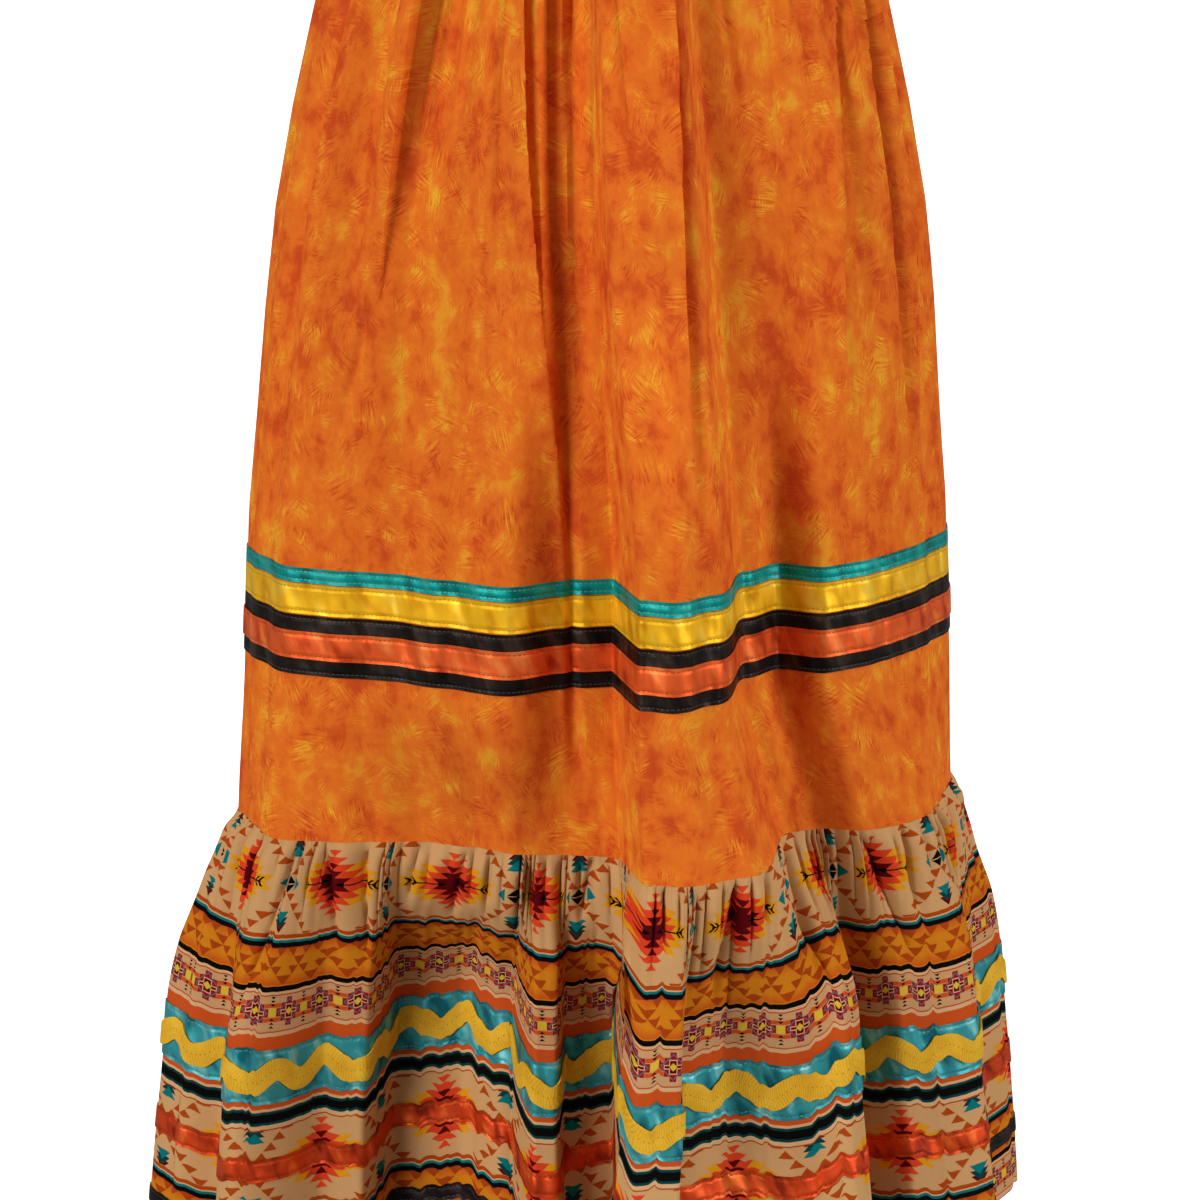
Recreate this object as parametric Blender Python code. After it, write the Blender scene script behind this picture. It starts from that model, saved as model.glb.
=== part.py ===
"""Ribbon skirt: orange cotton panels with four satin ribbons, and a gathered printed flounce.

Origin at the middle of the waistband, front of the skirt towards -Y, +Z up, metres.
The skirt is filled out as when worn. Every piece is a thin wall round an open hollow.
"""
import bpy
import bmesh
from math import cos, hypot, radians, sin, sqrt
from mathutils import Vector

for old in list(bpy.data.objects):
    bpy.data.objects.remove(old, do_unlink=True)

# Cloth and sewing
CLOTH = 0.0012            # thickness of a cotton wall
RIBBON = 0.0010           # thickness of a satin ribbon
BRAID = 0.0012            # thickness of the ric-rac
SEAM_GAP = 0.0003         # space kept between two sewn pieces
LAY_GAP = 0.0004          # space kept under a ribbon that lies on a piece

# Heights below the waist
BAND_HALF = 0.016         # half the waistband's height
BAND_WALL = 0.0026        # waistband casing, cloth and elastic together
SEAM_Z = -0.645           # seam between the orange panels and the flounce
FLOUNCE_LENGTH = 0.330    # cloth of the flounce from the seam to the hem

# Satin ribbons of the upper part: top edge and width, down from the waist
RIBBON_TOP = 0.469
TEAL_WIDTH = 0.0095
YELLOW_WIDTH = 0.0190
BLACK_WIDTH = 0.0380
ORANGE_WIDTH = 0.0175
RIBBON_SPACE = 0.0007     # line of orange cloth left between two ribbons

# Trims of the flounce: top edge below the seam and width
FLOUNCE_TEAL = (0.144, 0.038)
FLOUNCE_ORANGE = (0.220, 0.016)
FLOUNCE_BLACK = (0.279, 0.011)
RICRAC_MIDDLE = 0.163
RICRAC_BAND = 0.015       # width of the braid itself
RICRAC_SWING = 0.0045     # how far its middle line swings to each side

# Level below the waist, half width, half depth of the front, half depth of the back
SECTIONS = (
    (0.000, 0.1310, 0.1020, 0.1020),
    (0.016, 0.1330, 0.1030, 0.1030),
    (0.060, 0.1570, 0.1120, 0.1180),
    (0.127, 0.1770, 0.1180, 0.1300),
    (0.190, 0.1925, 0.1210, 0.1360),
    (0.252, 0.2050, 0.1230, 0.1390),
    (0.316, 0.2130, 0.1240, 0.1390),
    (0.380, 0.2195, 0.1250, 0.1380),
    (0.446, 0.2265, 0.1250, 0.1370),
    (0.538, 0.2310, 0.1260, 0.1370),
    (0.645, 0.2360, 0.1300, 0.1390),
)

# Fold lines of the upper part, left side seam round to the left side seam again.
# Columns: angle at the waist, at the ribbons and at the seam (degrees, 0 front, 90 the side on
# +X), how far the cloth stands out there at the waist, hip, ribbons and seam (mm), and the mesh
# columns up to the next line.
FOLDS = (
    (-90.0, -90.0, -90.0,   0.0,  0.0,  0.0,   0.0, 2),
    (-72.0, -79.0, -82.0,  -5.0, -6.0, -3.0,  -1.0, 2),
    (-63.5, -69.0, -70.0,   7.0,  6.0,  2.0,   5.0, 2),
    (-55.0, -57.0, -56.0,   0.0,  0.0, -3.0, -10.0, 2),
    (-47.0, -48.0, -47.0,  13.0,  7.0, -8.0, -22.0, 1),
    (-42.5, -43.0, -38.0,  -7.0, -2.0, -8.0, -30.0, 2),
    (-34.0, -33.0, -28.0,   3.0,  3.0,  3.0, -22.0, 2),
    (-28.0, -22.0, -20.0,  11.0, 12.0, 20.0,  -7.0, 2),
    (-24.2, -13.7, -13.0,   9.0,  8.0,  4.0,  -6.0, 1),
    (-22.4, -12.0,  -9.8, -11.0, -9.0, -1.0,  -2.0, 1),
    (-16.4, -10.2,  -7.5, -13.0, -8.0,  2.0,   0.0, 1),
    (-13.7,  -5.6,  -5.0,   7.0,  3.0,  1.0,   8.0, 1),
    (-11.0,  -4.0,  -3.6,   6.0, 22.0, 62.0,  64.0, 2),
    ( -4.8,   0.0,   2.0,   3.0, 24.0, 72.0,  71.0, 2),
    (  4.5,   6.0,  10.0,  13.0, 26.0, 58.0,  62.0, 2),
    (  9.0,  15.5,  25.5,  -6.0, -6.0,  2.0, -14.0, 2),
    ( 19.0,  23.0,  30.0,   0.0, -2.0, -12.0, -14.0, 2),
    ( 29.0,  29.0,  38.0,   3.0,  3.0, 11.0,   7.0, 2),
    ( 36.0,  37.0,  44.0,   6.0,  5.0,  9.0,  10.0, 1),
    ( 41.0,  43.0,  50.0,   0.0,  1.0,  5.0,  10.0, 1),
    ( 46.0,  48.0,  54.0,   8.0,  5.0,  2.0,   8.0, 1),
    ( 51.0,  52.0,  59.0,  -1.0,  0.0,  0.0,   3.0, 1),
    ( 58.0,  58.5,  65.0,  11.0,  8.0, -2.0,  -2.0, 1),
    ( 62.5,  64.0,  71.0,  -7.0, -5.0, -5.0,  -6.0, 2),
    ( 76.0,  77.0,  80.0,   3.0,  2.0, -2.0,  -5.0, 2),
    ( 90.0,  90.0,  90.0,   0.0,  0.0,  0.0,   0.0, 2),
    (104.0, 103.0, 102.0,   8.0,  6.0,  6.0,  10.0, 2),
    (113.0, 113.0, 113.0,  -6.0, -5.0, -8.0, -10.0, 2),
    (124.0, 125.0, 125.0,  12.0,  9.0, 12.0,  16.0, 2),
    (134.0, 136.0, 137.0,  -8.0, -7.0, -10.0, -14.0, 2),
    (145.0, 147.0, 148.0,   6.0,  6.0,  8.0,   6.0, 2),
    (153.0, 155.0, 157.0,  -4.0, -4.0, -9.0, -16.0, 2),
    (160.0, 163.0, 164.0,   9.0, 12.0, 26.0,  34.0, 2),
    (172.0, 174.0, 176.0,   6.0,  9.0, 20.0,  30.0, 2),
    (178.0, 181.0, 184.0, -10.0, -8.0, -8.0, -12.0, 2),
    (187.0, 191.0, 194.0,  10.0,  8.0,  6.0,   3.0, 2),
    (196.0, 199.0, 202.0,  -7.0, -6.0, -9.0, -14.0, 2),
    (206.0, 208.0, 209.0,   9.0, 10.0, 18.0,  22.0, 2),
    (217.0, 218.0, 219.0,   5.0,  5.0, 10.0,  14.0, 2),
    (225.0, 226.0, 227.0,  -8.0, -6.0, -9.0, -12.0, 2),
    (237.0, 238.0, 238.0,  10.0,  8.0,  8.0,  10.0, 2),
    (248.0, 249.0, 249.0,  -5.0, -5.0, -6.0,  -8.0, 2),
    (259.0, 260.0, 260.0,   6.0,  5.0,  5.0,   7.0, 2),
)
HIP_LEVEL = 0.270
RIBBON_ZONE = (0.460, 0.545)   # folds keep their shape between these two levels
WAIST_SHARE = 0.30             # the elastic holds the folds down to this share at the waist

# Cloth down the flounce, half width, half depth front and back
FLARE = (
    (0.000, 0.2360, 0.1300, 0.1390),
    (0.018, 0.2430, 0.1310, 0.1430),
    (0.050, 0.2510, 0.1300, 0.1460),
    (0.097, 0.2600, 0.1270, 0.1470),
    (0.144, 0.2660, 0.1240, 0.1480),
    (0.182, 0.2700, 0.1250, 0.1490),
    (0.236, 0.2740, 0.1300, 0.1530),
    (0.285, 0.2770, 0.1360, 0.1570),
    (0.330, 0.2790, 0.1410, 0.1600),
)

# Waves of the flounce: angle at the seam, at the teal ribbon and at the hem (degrees), how far
# the cloth stands out at the ribbon and at the hem (mm), and mesh columns up to the next line.
WAVES = (
    (-90.0, -90.0, -90.0,  12.0,  18.0, 3),
    (-79.0, -79.0, -79.0,  -8.0, -10.0, 4),
    (-66.0, -64.0, -64.0,  20.0,  26.0, 3),
    (-55.0, -53.0, -53.0, -36.0, -42.0, 2),
    (-46.0, -44.5, -44.5, -40.0, -42.0, 1),
    (-42.0, -40.6, -40.6, -84.0, -84.0, 4),
    (-29.0, -28.0, -28.0, -85.0, -82.0, 3),
    (-20.0, -18.5, -19.0, -58.0, -54.0, 1),
    (-16.5, -15.2, -15.4,  -6.0,   2.0, 1),
    (-13.8, -12.6, -12.4,  -4.0,   4.0, 1),
    (-11.5, -10.6, -10.4, -34.0, -28.0, 2),
    ( -5.2,  -2.6,  -3.6, -34.0, -30.0, 1),
    ( -4.2,  -6.3,  -8.8,  76.0,  76.0, 1),
    ( -2.6,  -4.8,  -7.2,  82.0,  84.0, 1),
    (  0.6,   0.4,  -1.6,  80.0,  84.0, 1),
    (  2.8,   2.2,   0.9,  42.0,  44.0, 3),
    (  9.0,   9.5,  10.0,  30.0,  34.0, 3),
    ( 17.0,  17.5,  18.0,  36.0,  42.0, 2),
    ( 24.0,  23.6,  24.1,  54.0,  62.0, 2),
    ( 28.0,  26.5,  27.0,  46.0,  54.0, 2),
    ( 33.0,  31.6,  32.0, -22.0, -18.0, 2),
    ( 39.0,  38.5,  39.0,  18.0,  24.0, 4),
    ( 54.0,  52.0,  52.0,  28.0,  38.0, 3),
    ( 64.0,  62.0,  61.0,  -6.0,  -8.0, 4),
    ( 78.0,  78.0,  78.0, -16.0, -12.0, 3),
    ( 90.0,  90.0,  90.0, -10.0,  -4.0, 2),
    (101.0, 101.0, 101.0,  26.0,  32.0, 3),
    (112.0, 112.0, 112.0, -14.0, -18.0, 4),
    (123.0, 123.0, 123.0,  26.0,  34.0, 4),
    (135.0, 135.0, 135.0, -22.0, -26.0, 4),
    (147.0, 147.0, 147.0,  24.0,  32.0, 4),
    (158.0, 158.0, 158.0, -24.0, -26.0, 4),
    (166.0, 166.0, 166.0,  38.0,  46.0, 2),
    (173.0, 173.0, 173.0,  40.0,  50.0, 3),
    (182.0, 182.0, 182.0, -26.0, -30.0, 4),
    (193.0, 193.0, 193.0,  22.0,  30.0, 4),
    (204.0, 204.0, 204.0, -20.0, -24.0, 4),
    (215.0, 215.0, 215.0,  34.0,  42.0, 4),
    (228.0, 228.0, 228.0, -22.0, -26.0, 4),
    (241.0, 241.0, 241.0,  24.0,  30.0, 4),
    (254.0, 254.0, 254.0, -10.0, -12.0, 3),
    (262.0, 262.0, 262.0,  26.0,  32.0, 2),
)

TAKE_UP = 0.96            # the small gathers take up the rest of the flounce's length
WAIST_PUCKER = 0.0018     # swing of the small gathers under the waistband
SEAM_PUCKER = 0.0042      # swing of the small gathers under the flounce seam


def smooth(t):
    """Ease from 0 to 1."""
    t = min(max(t, 0.0), 1.0)
    return t * t * (3.0 - 2.0 * t)


def lookup(table, x, column, ease=False):
    """Value of a table's column at x, where column 0 rises."""
    if x <= table[0][0]:
        return table[0][column]
    for low, high in zip(table, table[1:]):
        if x <= high[0]:
            t = (x - low[0]) / (high[0] - low[0])
            if ease:
                t = smooth(t)
            return low[column] + (high[column] - low[column]) * t
    return table[-1][column]


def base(table, level, angle, columns):
    """Point and outward normal of the plain oval of a level, at an angle in degrees."""
    half_width = lookup(table, level, columns[0])
    half_depth = lookup(table, level, columns[1] if cos(radians(angle)) > 0 else columns[2])
    s, c = sin(radians(angle)), cos(radians(angle))
    nx, ny = s / half_width, -c / half_depth
    size = hypot(nx, ny)
    return (half_width * s, -half_depth * c), (nx / size, ny / size)


def between(rows, place, value, ease):
    """A value of the line table at a place: line number plus the way to the next line."""
    i = int(place) % len(rows)
    t = place - int(place)
    first = value(rows[i])
    last = value(rows[(i + 1) % len(rows)])
    if ease:
        t = smooth(t)
    return first + (last - first) * t


def turned(rows, place, value):
    """The angle at a place, which runs on past the last line to the first."""
    i = int(place) % len(rows)
    t = place - int(place)
    first = value(rows[i])
    last = value(rows[(i + 1) % len(rows)])
    if last < first - 180.0:
        last += 360.0
    return first + (last - first) * t


def places(rows, count):
    """Places of the mesh columns: each line and the even steps up to the next one."""
    return [i + k / row[count] for i, row in enumerate(rows) for k in range(row[count])]


def fold_angle(level):
    """How far round a fold line runs at a level."""
    steps = ((BAND_HALF, 0), (RIBBON_ZONE[0], 1), (RIBBON_ZONE[1], 1), (-SEAM_Z, 2))
    return lambda row: lookup([(x, row[column]) for x, column in steps], level, 1)


def fold_rise(level):
    """How far a fold line stands out at a level, metres."""
    share = WAIST_SHARE + (1.0 - WAIST_SHARE) * smooth((level - BAND_HALF) / 0.095)
    steps = ((0.110, 3), (HIP_LEVEL, 4), (RIBBON_ZONE[0], 5), (RIBBON_ZONE[1], 5), (-SEAM_Z, 6))
    return lambda row: 0.001 * share * lookup([(x, row[column]) for x, column in steps], level, 1,
                                              ease=True)


def panel_point(place, level):
    """Middle of the orange cloth at a place round the skirt and a level below the waist."""
    angle = turned(FOLDS, place, fold_angle(level))
    rise = between(FOLDS, place, fold_rise(level), ease=True)
    (x, y), (nx, ny) = base(SECTIONS, level, angle, (1, 2, 3))
    return Vector((x + nx * rise, y + ny * rise, -level))


def seam_rise(angle):
    """How far the orange cloth stands out at the seam, at an angle, on its mesh's straight sides."""
    marks = [(turned(FOLDS, place, lambda row: row[2]),
              between(FOLDS, place, lambda row: row[6], ease=True)) for place in places(FOLDS, 7)]
    marks.append((marks[0][0] + 360.0, marks[0][1]))
    while angle < marks[0][0]:
        angle += 360.0
    while angle > marks[-1][0]:
        angle -= 360.0
    return 0.001 * lookup(marks, angle, 1)


def flounce_point(place, down):
    """Middle of the flounce cloth at a place round it and a length of cloth below the seam."""
    ribbon, hem = FLOUNCE_TEAL[0], FLOUNCE_LENGTH
    steps = ((0.0, 0), (ribbon, 1), (ribbon + FLOUNCE_TEAL[1], 1), (hem, 2))
    angle = turned(WAVES, place, lambda row: lookup([(x, row[c]) for x, c in steps], down, 1))
    steps_out = ((ribbon + FLOUNCE_TEAL[1], 3), (hem, 4))
    wave = 0.001 * between(WAVES, place,
                           lambda row: lookup([(x, row[c]) for x, c in steps_out], down, 1), ease=True)
    share = smooth(down / ribbon)
    rise = seam_rise(angle) * (1.0 - share) + wave * share
    (x, y), (nx, ny) = base(FLARE, down, angle, (1, 2, 3))
    return Vector((x + nx * rise, y + ny * rise, SEAM_Z - SEAM_GAP))


def hang(rows, downs):
    """Lower each row by what its cloth length leaves after the way it goes in or out."""
    for number in range(1, len(rows)):
        length = TAKE_UP * (downs[number] - downs[number - 1])
        for above, point in zip(rows[number - 1], rows[number]):
            aside = hypot(point.x - above.x, point.y - above.y)
            point.z = above.z - sqrt(max(length ** 2 - aside ** 2, (0.3 * length) ** 2))


def band_faces(top, low, closed):
    """Triangles between two rows of vertices, where the top row may be twice as fine."""
    if closed:
        top, low = top + top[:1], low + low[:1]
    faces = []
    if len(top) == len(low):
        for i in range(len(low) - 1):
            faces += [(top[i], low[i], low[i + 1]), (top[i], low[i + 1], top[i + 1])]
    else:
        for i in range(len(low) - 1):
            a, b, c = top[2 * i:2 * i + 3]
            faces += [(a, low[i], b), (b, low[i], low[i + 1]), (b, low[i + 1], c)]
    return faces


def with_normals(rows):
    """Pair each point of closed rows with a normal, long enough to keep walls even at corners."""
    points = [point for row in rows for point in row]
    starts = [sum(len(row) for row in rows[:i]) for i in range(len(rows))]
    numbers = [list(range(start, start + len(row))) for start, row in zip(starts, rows)]
    around = [[] for _ in points]
    for top, low in zip(numbers, numbers[1:]):
        for a, b, c in band_faces(top, low, closed=True):
            normal = (points[b] - points[a]).cross(points[c] - points[a]).normalized()
            for corner in (a, b, c):
                around[corner].append(normal)
    paired = []
    for row in numbers:
        line = []
        for number in row:
            middle = sum(around[number], Vector())
            if row in (numbers[0], numbers[-1]):
                middle.z = 0.0      # the wall ends level, so two sewn walls stay apart
            middle = middle.normalized()
            along = sum(middle.dot(normal) for normal in around[number]) / len(around[number])
            line.append((points[number], middle / max(along, 0.66)))
        paired.append(line)
    return paired


def part_of_row(row, ends, count):
    """The stretch of a closed row between two columns, pulled in at both ends for the seam."""
    step = len(row) // count
    first, last = ends[0] * step, ends[1] * step
    line = [row[i % len(row)] for i in range(first, last + 1)]
    for end, inside in ((0, 1), (-1, -2)):
        point, normal = line[end]
        line[end] = (point + (line[inside][0] - point).normalized() * SEAM_GAP / 2, normal)
    return line


def row_between(top, low, t):
    """Row at a share t of the way down from one row to the next; t may be one value a column."""
    if isinstance(t, float):
        t = [t] * len(top)
    return [(p.lerp(q, s), n.lerp(m, s)) for (p, n), (q, m), s in zip(top, low, t)]


def material(name, colour, rough, metal=0.0):
    """Principled material of one plain colour."""
    made = bpy.data.materials.new(name)
    made.use_nodes = True
    shader = made.node_tree.nodes["Principled BSDF"]
    shader.inputs["Base Color"].default_value = (*colour, 1.0)
    shader.inputs["Roughness"].default_value = rough
    shader.inputs["Metallic"].default_value = metal
    return made


def wall(name, rows, inner, outer, closed, look):
    """Closed body between two offsets of the rows: both skins, rims and any open ends."""
    points, skins = [], []
    for offset in (outer, inner):
        skin = []
        for row in rows:
            skin.append(list(range(len(points), len(points) + len(row))))
            points += [point + normal * offset for point, normal in row]
        skins.append(skin)
    outside, inside = skins
    faces = []
    for k in range(len(rows) - 1):
        faces += band_faces(outside[k], outside[k + 1], closed)
        faces += [face[::-1] for face in band_faces(inside[k], inside[k + 1], closed)]
    faces += band_faces(inside[0], outside[0], closed)
    faces += band_faces(outside[-1], inside[-1], closed)
    if not closed:
        faces += band_faces([row[0] for row in inside], [row[0] for row in outside], False)
        last = band_faces([row[-1] for row in inside], [row[-1] for row in outside], False)
        faces += [face[::-1] for face in last]      # split as the neighbour's end is
    mesh = bpy.data.meshes.new(name)
    mesh.from_pydata(points, [], faces)
    body = bmesh.new()
    body.from_mesh(mesh)
    bmesh.ops.recalc_face_normals(body, faces=body.faces)
    if body.calc_volume(signed=True) < 0:
        bmesh.ops.reverse_faces(body, faces=body.faces)
    body.to_mesh(mesh)
    body.free()
    made = bpy.data.objects.new(name, mesh)
    bpy.context.scene.collection.objects.link(made)
    made.data.materials.append(material(name, *look))


# Rows of the orange cloth, waist to seam
LEVELS = (BAND_HALF + SEAM_GAP, 0.045, 0.085, 0.140, 0.205, 0.285, 0.375,
          RIBBON_ZONE[0], RIBBON_ZONE[1], 0.595, -SEAM_Z)
columns = places(FOLDS, 7)
side = columns.index(float([row[0] for row in FOLDS].index(90.0)))
upper = []
for level in LEVELS:
    row = [panel_point(place, level) for place in columns]
    swing = WAIST_PUCKER * (1.0 - smooth((level - BAND_HALF) / 0.07))
    for i, point in enumerate(row):
        away = Vector((point.x, point.y, 0.0)).normalized()
        point += away * (swing if i % 2 else -swing)
    upper.append(row)
band_low = [Vector((p.x, p.y, -BAND_HALF)) for p in upper[0]]
band_top = [Vector((p.x, p.y, BAND_HALF)) for p in upper[0]]
upper = with_normals(upper)
band = with_normals([band_top, band_low])

# Rows of the flounce, seam to hem; the first two carry the small gathers
DOWNS = (0.0, 0.018, 0.050, 0.097, FLOUNCE_TEAL[0], sum(FLOUNCE_TEAL), FLOUNCE_ORANGE[0],
         sum(FLOUNCE_ORANGE), FLOUNCE_BLACK[0], sum(FLOUNCE_BLACK), FLOUNCE_LENGTH)
flute_columns = places(WAVES, 5)
flute_side = flute_columns.index(float([row[0] for row in WAVES].index(90.0)))
lower = [[flounce_point(place, down) for place in flute_columns] for down in DOWNS]
hang(lower, DOWNS)
for number, swing in ((0, 0.3 * SEAM_PUCKER), (1, SEAM_PUCKER)):
    row, fine = lower[number], []
    for i, point in enumerate(row):
        follower = row[(i + 1) % len(row)]
        for p, way in ((point, -1.0), (point.lerp(follower, 0.5), 1.0)):
            away = Vector((p.x, p.y, 0.0)).normalized()
            fine.append(p + away * swing * way)
    lower[number] = fine
lower = with_normals(lower)

half = CLOTH / 2
lie = half + LAY_GAP            # underside of a ribbon sewn on the cloth
top_side = lie + RIBBON         # its face
lie_2 = top_side + LAY_GAP      # underside of a trim sewn on that ribbon

ORANGE_COTTON = ((0.80, 0.15, 0.015), 0.85)
PRINT_COTTON = ((0.60, 0.36, 0.17), 0.85)
TEAL_SATIN = ((0.0, 0.26, 0.26), 0.35)
YELLOW_SATIN = ((0.90, 0.42, 0.008), 0.35)
BLACK_SATIN = ((0.012, 0.010, 0.010), 0.35)
ORANGE_SATIN = ((0.78, 0.13, 0.025), 0.35)
BLUE_SATIN = ((0.04, 0.33, 0.38), 0.35)
YELLOW_BRAID = ((0.78, 0.40, 0.01), 0.8)

wall("waistband", band, -half, BAND_WALL - half, True, ORANGE_COTTON)

for name, ends in (("panel_front", (0, side)), ("panel_back", (side, len(columns)))):
    rows = [part_of_row(row, ends, len(columns)) for row in upper]
    wall(name, rows, -half, half, False, ORANGE_COTTON)

zone = [upper[LEVELS.index(level)] for level in RIBBON_ZONE]


def zone_ribbon(name, top, width, inner, look):
    """Satin ribbon round the ribbon zone, from its top edge's level down."""
    span = RIBBON_ZONE[1] - RIBBON_ZONE[0]
    rows = [row_between(*zone, (level - RIBBON_ZONE[0]) / span) for level in (top, top + width)]
    wall(name, rows, inner, inner + RIBBON, True, look)


yellow_top = RIBBON_TOP + TEAL_WIDTH + RIBBON_SPACE
black_top = yellow_top + YELLOW_WIDTH + RIBBON_SPACE
zone_ribbon("ribbon_teal", RIBBON_TOP, TEAL_WIDTH, lie, TEAL_SATIN)
zone_ribbon("ribbon_yellow", yellow_top, YELLOW_WIDTH, lie, YELLOW_SATIN)
zone_ribbon("ribbon_black", black_top, BLACK_WIDTH, lie, BLACK_SATIN)
zone_ribbon("ribbon_orange", black_top + (BLACK_WIDTH - ORANGE_WIDTH) / 2, ORANGE_WIDTH, lie_2,
            ORANGE_SATIN)

count = len(flute_columns)
for name, ends in (("flounce_front", (0, flute_side)), ("flounce_back", (flute_side, count))):
    rows = [part_of_row(row, ends, count) for row in lower]
    wall(name, rows, -half, half, False, PRINT_COTTON)

for name, (down, width), look in (("flounce_ribbon_teal", FLOUNCE_TEAL, BLUE_SATIN),
                                  ("flounce_ribbon_orange", FLOUNCE_ORANGE, ORANGE_SATIN),
                                  ("flounce_ribbon_black", FLOUNCE_BLACK, BLACK_SATIN)):
    number = DOWNS.index(down)
    wall(name, lower[number:number + 2], lie, top_side, True, look)

# The ric-rac swings above and below the ribbon's middle from one column to the next
number = DOWNS.index(FLOUNCE_TEAL[0])
edges = []
for edge in (-RICRAC_BAND / 2, RICRAC_BAND / 2):
    shares = [(RICRAC_MIDDLE + (RICRAC_SWING if i % 2 else -RICRAC_SWING) + edge
               - FLOUNCE_TEAL[0]) / FLOUNCE_TEAL[1] for i in range(count)]
    edges.append(row_between(lower[number], lower[number + 1], shares))
wall("ric_rac", edges, lie_2, lie_2 + BRAID, True, YELLOW_BRAID)
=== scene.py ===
"""Looks of the ribbon skirt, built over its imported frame.

The cloth follows the same tables of fold lines as the solids, with finer columns and rows. Each
cloth piece carries a UV map in metres of flat cloth, and every pattern is worked out on it.
"""

from math import pi, radians

import bpy
import bmesh
import numpy as np
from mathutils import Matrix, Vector


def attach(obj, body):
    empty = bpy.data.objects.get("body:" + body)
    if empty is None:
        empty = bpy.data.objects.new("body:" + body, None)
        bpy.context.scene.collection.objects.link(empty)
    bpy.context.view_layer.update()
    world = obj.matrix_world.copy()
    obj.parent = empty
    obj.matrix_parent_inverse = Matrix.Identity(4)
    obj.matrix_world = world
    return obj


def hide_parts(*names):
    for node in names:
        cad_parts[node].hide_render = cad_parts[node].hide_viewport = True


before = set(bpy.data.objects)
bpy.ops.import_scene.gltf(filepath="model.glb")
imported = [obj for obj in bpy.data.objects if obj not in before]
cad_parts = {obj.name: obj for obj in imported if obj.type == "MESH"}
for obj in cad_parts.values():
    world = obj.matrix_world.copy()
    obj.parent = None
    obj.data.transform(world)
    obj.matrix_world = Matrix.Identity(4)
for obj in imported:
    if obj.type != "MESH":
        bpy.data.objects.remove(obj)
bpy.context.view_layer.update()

MM = 0.001
ARC = 3.4                 # mm of cloth to a degree round the skirt

# Cloth and sewing, thinner here than the solids' walls
COTTON = 0.0007
SATIN = 0.0005
BRAID = 0.0011
CASING = 0.0014           # two layers of cotton
LAY = 0.0004              # space kept under a ribbon
SEAM_GAP = 0.0003

# Grid columns of the cloth, front and back
ORANGE_COLUMNS = (440, 420)
PRINT_COLUMNS = (540, 520)

# Small gathers round the skirt: their number and the seed of their uneven sizes, then their rise
# and how far down the cloth they run
WAIST_GATHERS, WAIST_RISE, WAIST_RUN = (104, 3), 0.0020, 0.075
SEAM_GATHERS, SEAM_RISE, SEAM_RUN = (146, 11), 0.0046, 0.085
SOFT_GATHERS, SOFT_RISE, SOFT_RUN = (61, 5), 0.0014, 0.130
CASING_GATHERS, CASING_RISE = (132, 8), 0.0005

# Heights below the waist
BAND_HALF = 0.016
SEAM_Z = -0.645
FLOUNCE_LENGTH = 0.330

# Satin ribbons of the upper part, top and bottom edge below the waist
UPPER_RIBBONS = {
    "teal": (0.4690, 0.4785),
    "yellow": (0.4792, 0.4982),
    "black": (0.4989, 0.5369),
    "orange": (0.50915, 0.52665),
}

# Trims of the flounce, top and bottom edge below the seam
FLOUNCE_RIBBONS = {
    "teal": (0.144, 0.182),
    "orange": (0.220, 0.236),
    "black": (0.279, 0.290),
}
TAKE_UP = 0.96            # the small gathers take up the rest of the flounce's length
RICRAC_MIDDLE = 0.163
RICRAC_HALF = 0.0076
RICRAC_SWING = 0.0052
RICRAC_WAVE = 0.040

# Level below the waist, half width, half depth of the front, half depth of the back
SECTIONS = np.array((
    (0.000, 0.1310, 0.1020, 0.1020),
    (0.016, 0.1330, 0.1030, 0.1030),
    (0.060, 0.1570, 0.1120, 0.1180),
    (0.127, 0.1770, 0.1180, 0.1300),
    (0.190, 0.1925, 0.1210, 0.1360),
    (0.252, 0.2050, 0.1230, 0.1390),
    (0.316, 0.2130, 0.1240, 0.1390),
    (0.380, 0.2195, 0.1250, 0.1380),
    (0.446, 0.2265, 0.1250, 0.1370),
    (0.538, 0.2310, 0.1260, 0.1370),
    (0.645, 0.2360, 0.1300, 0.1390),
))

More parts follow.
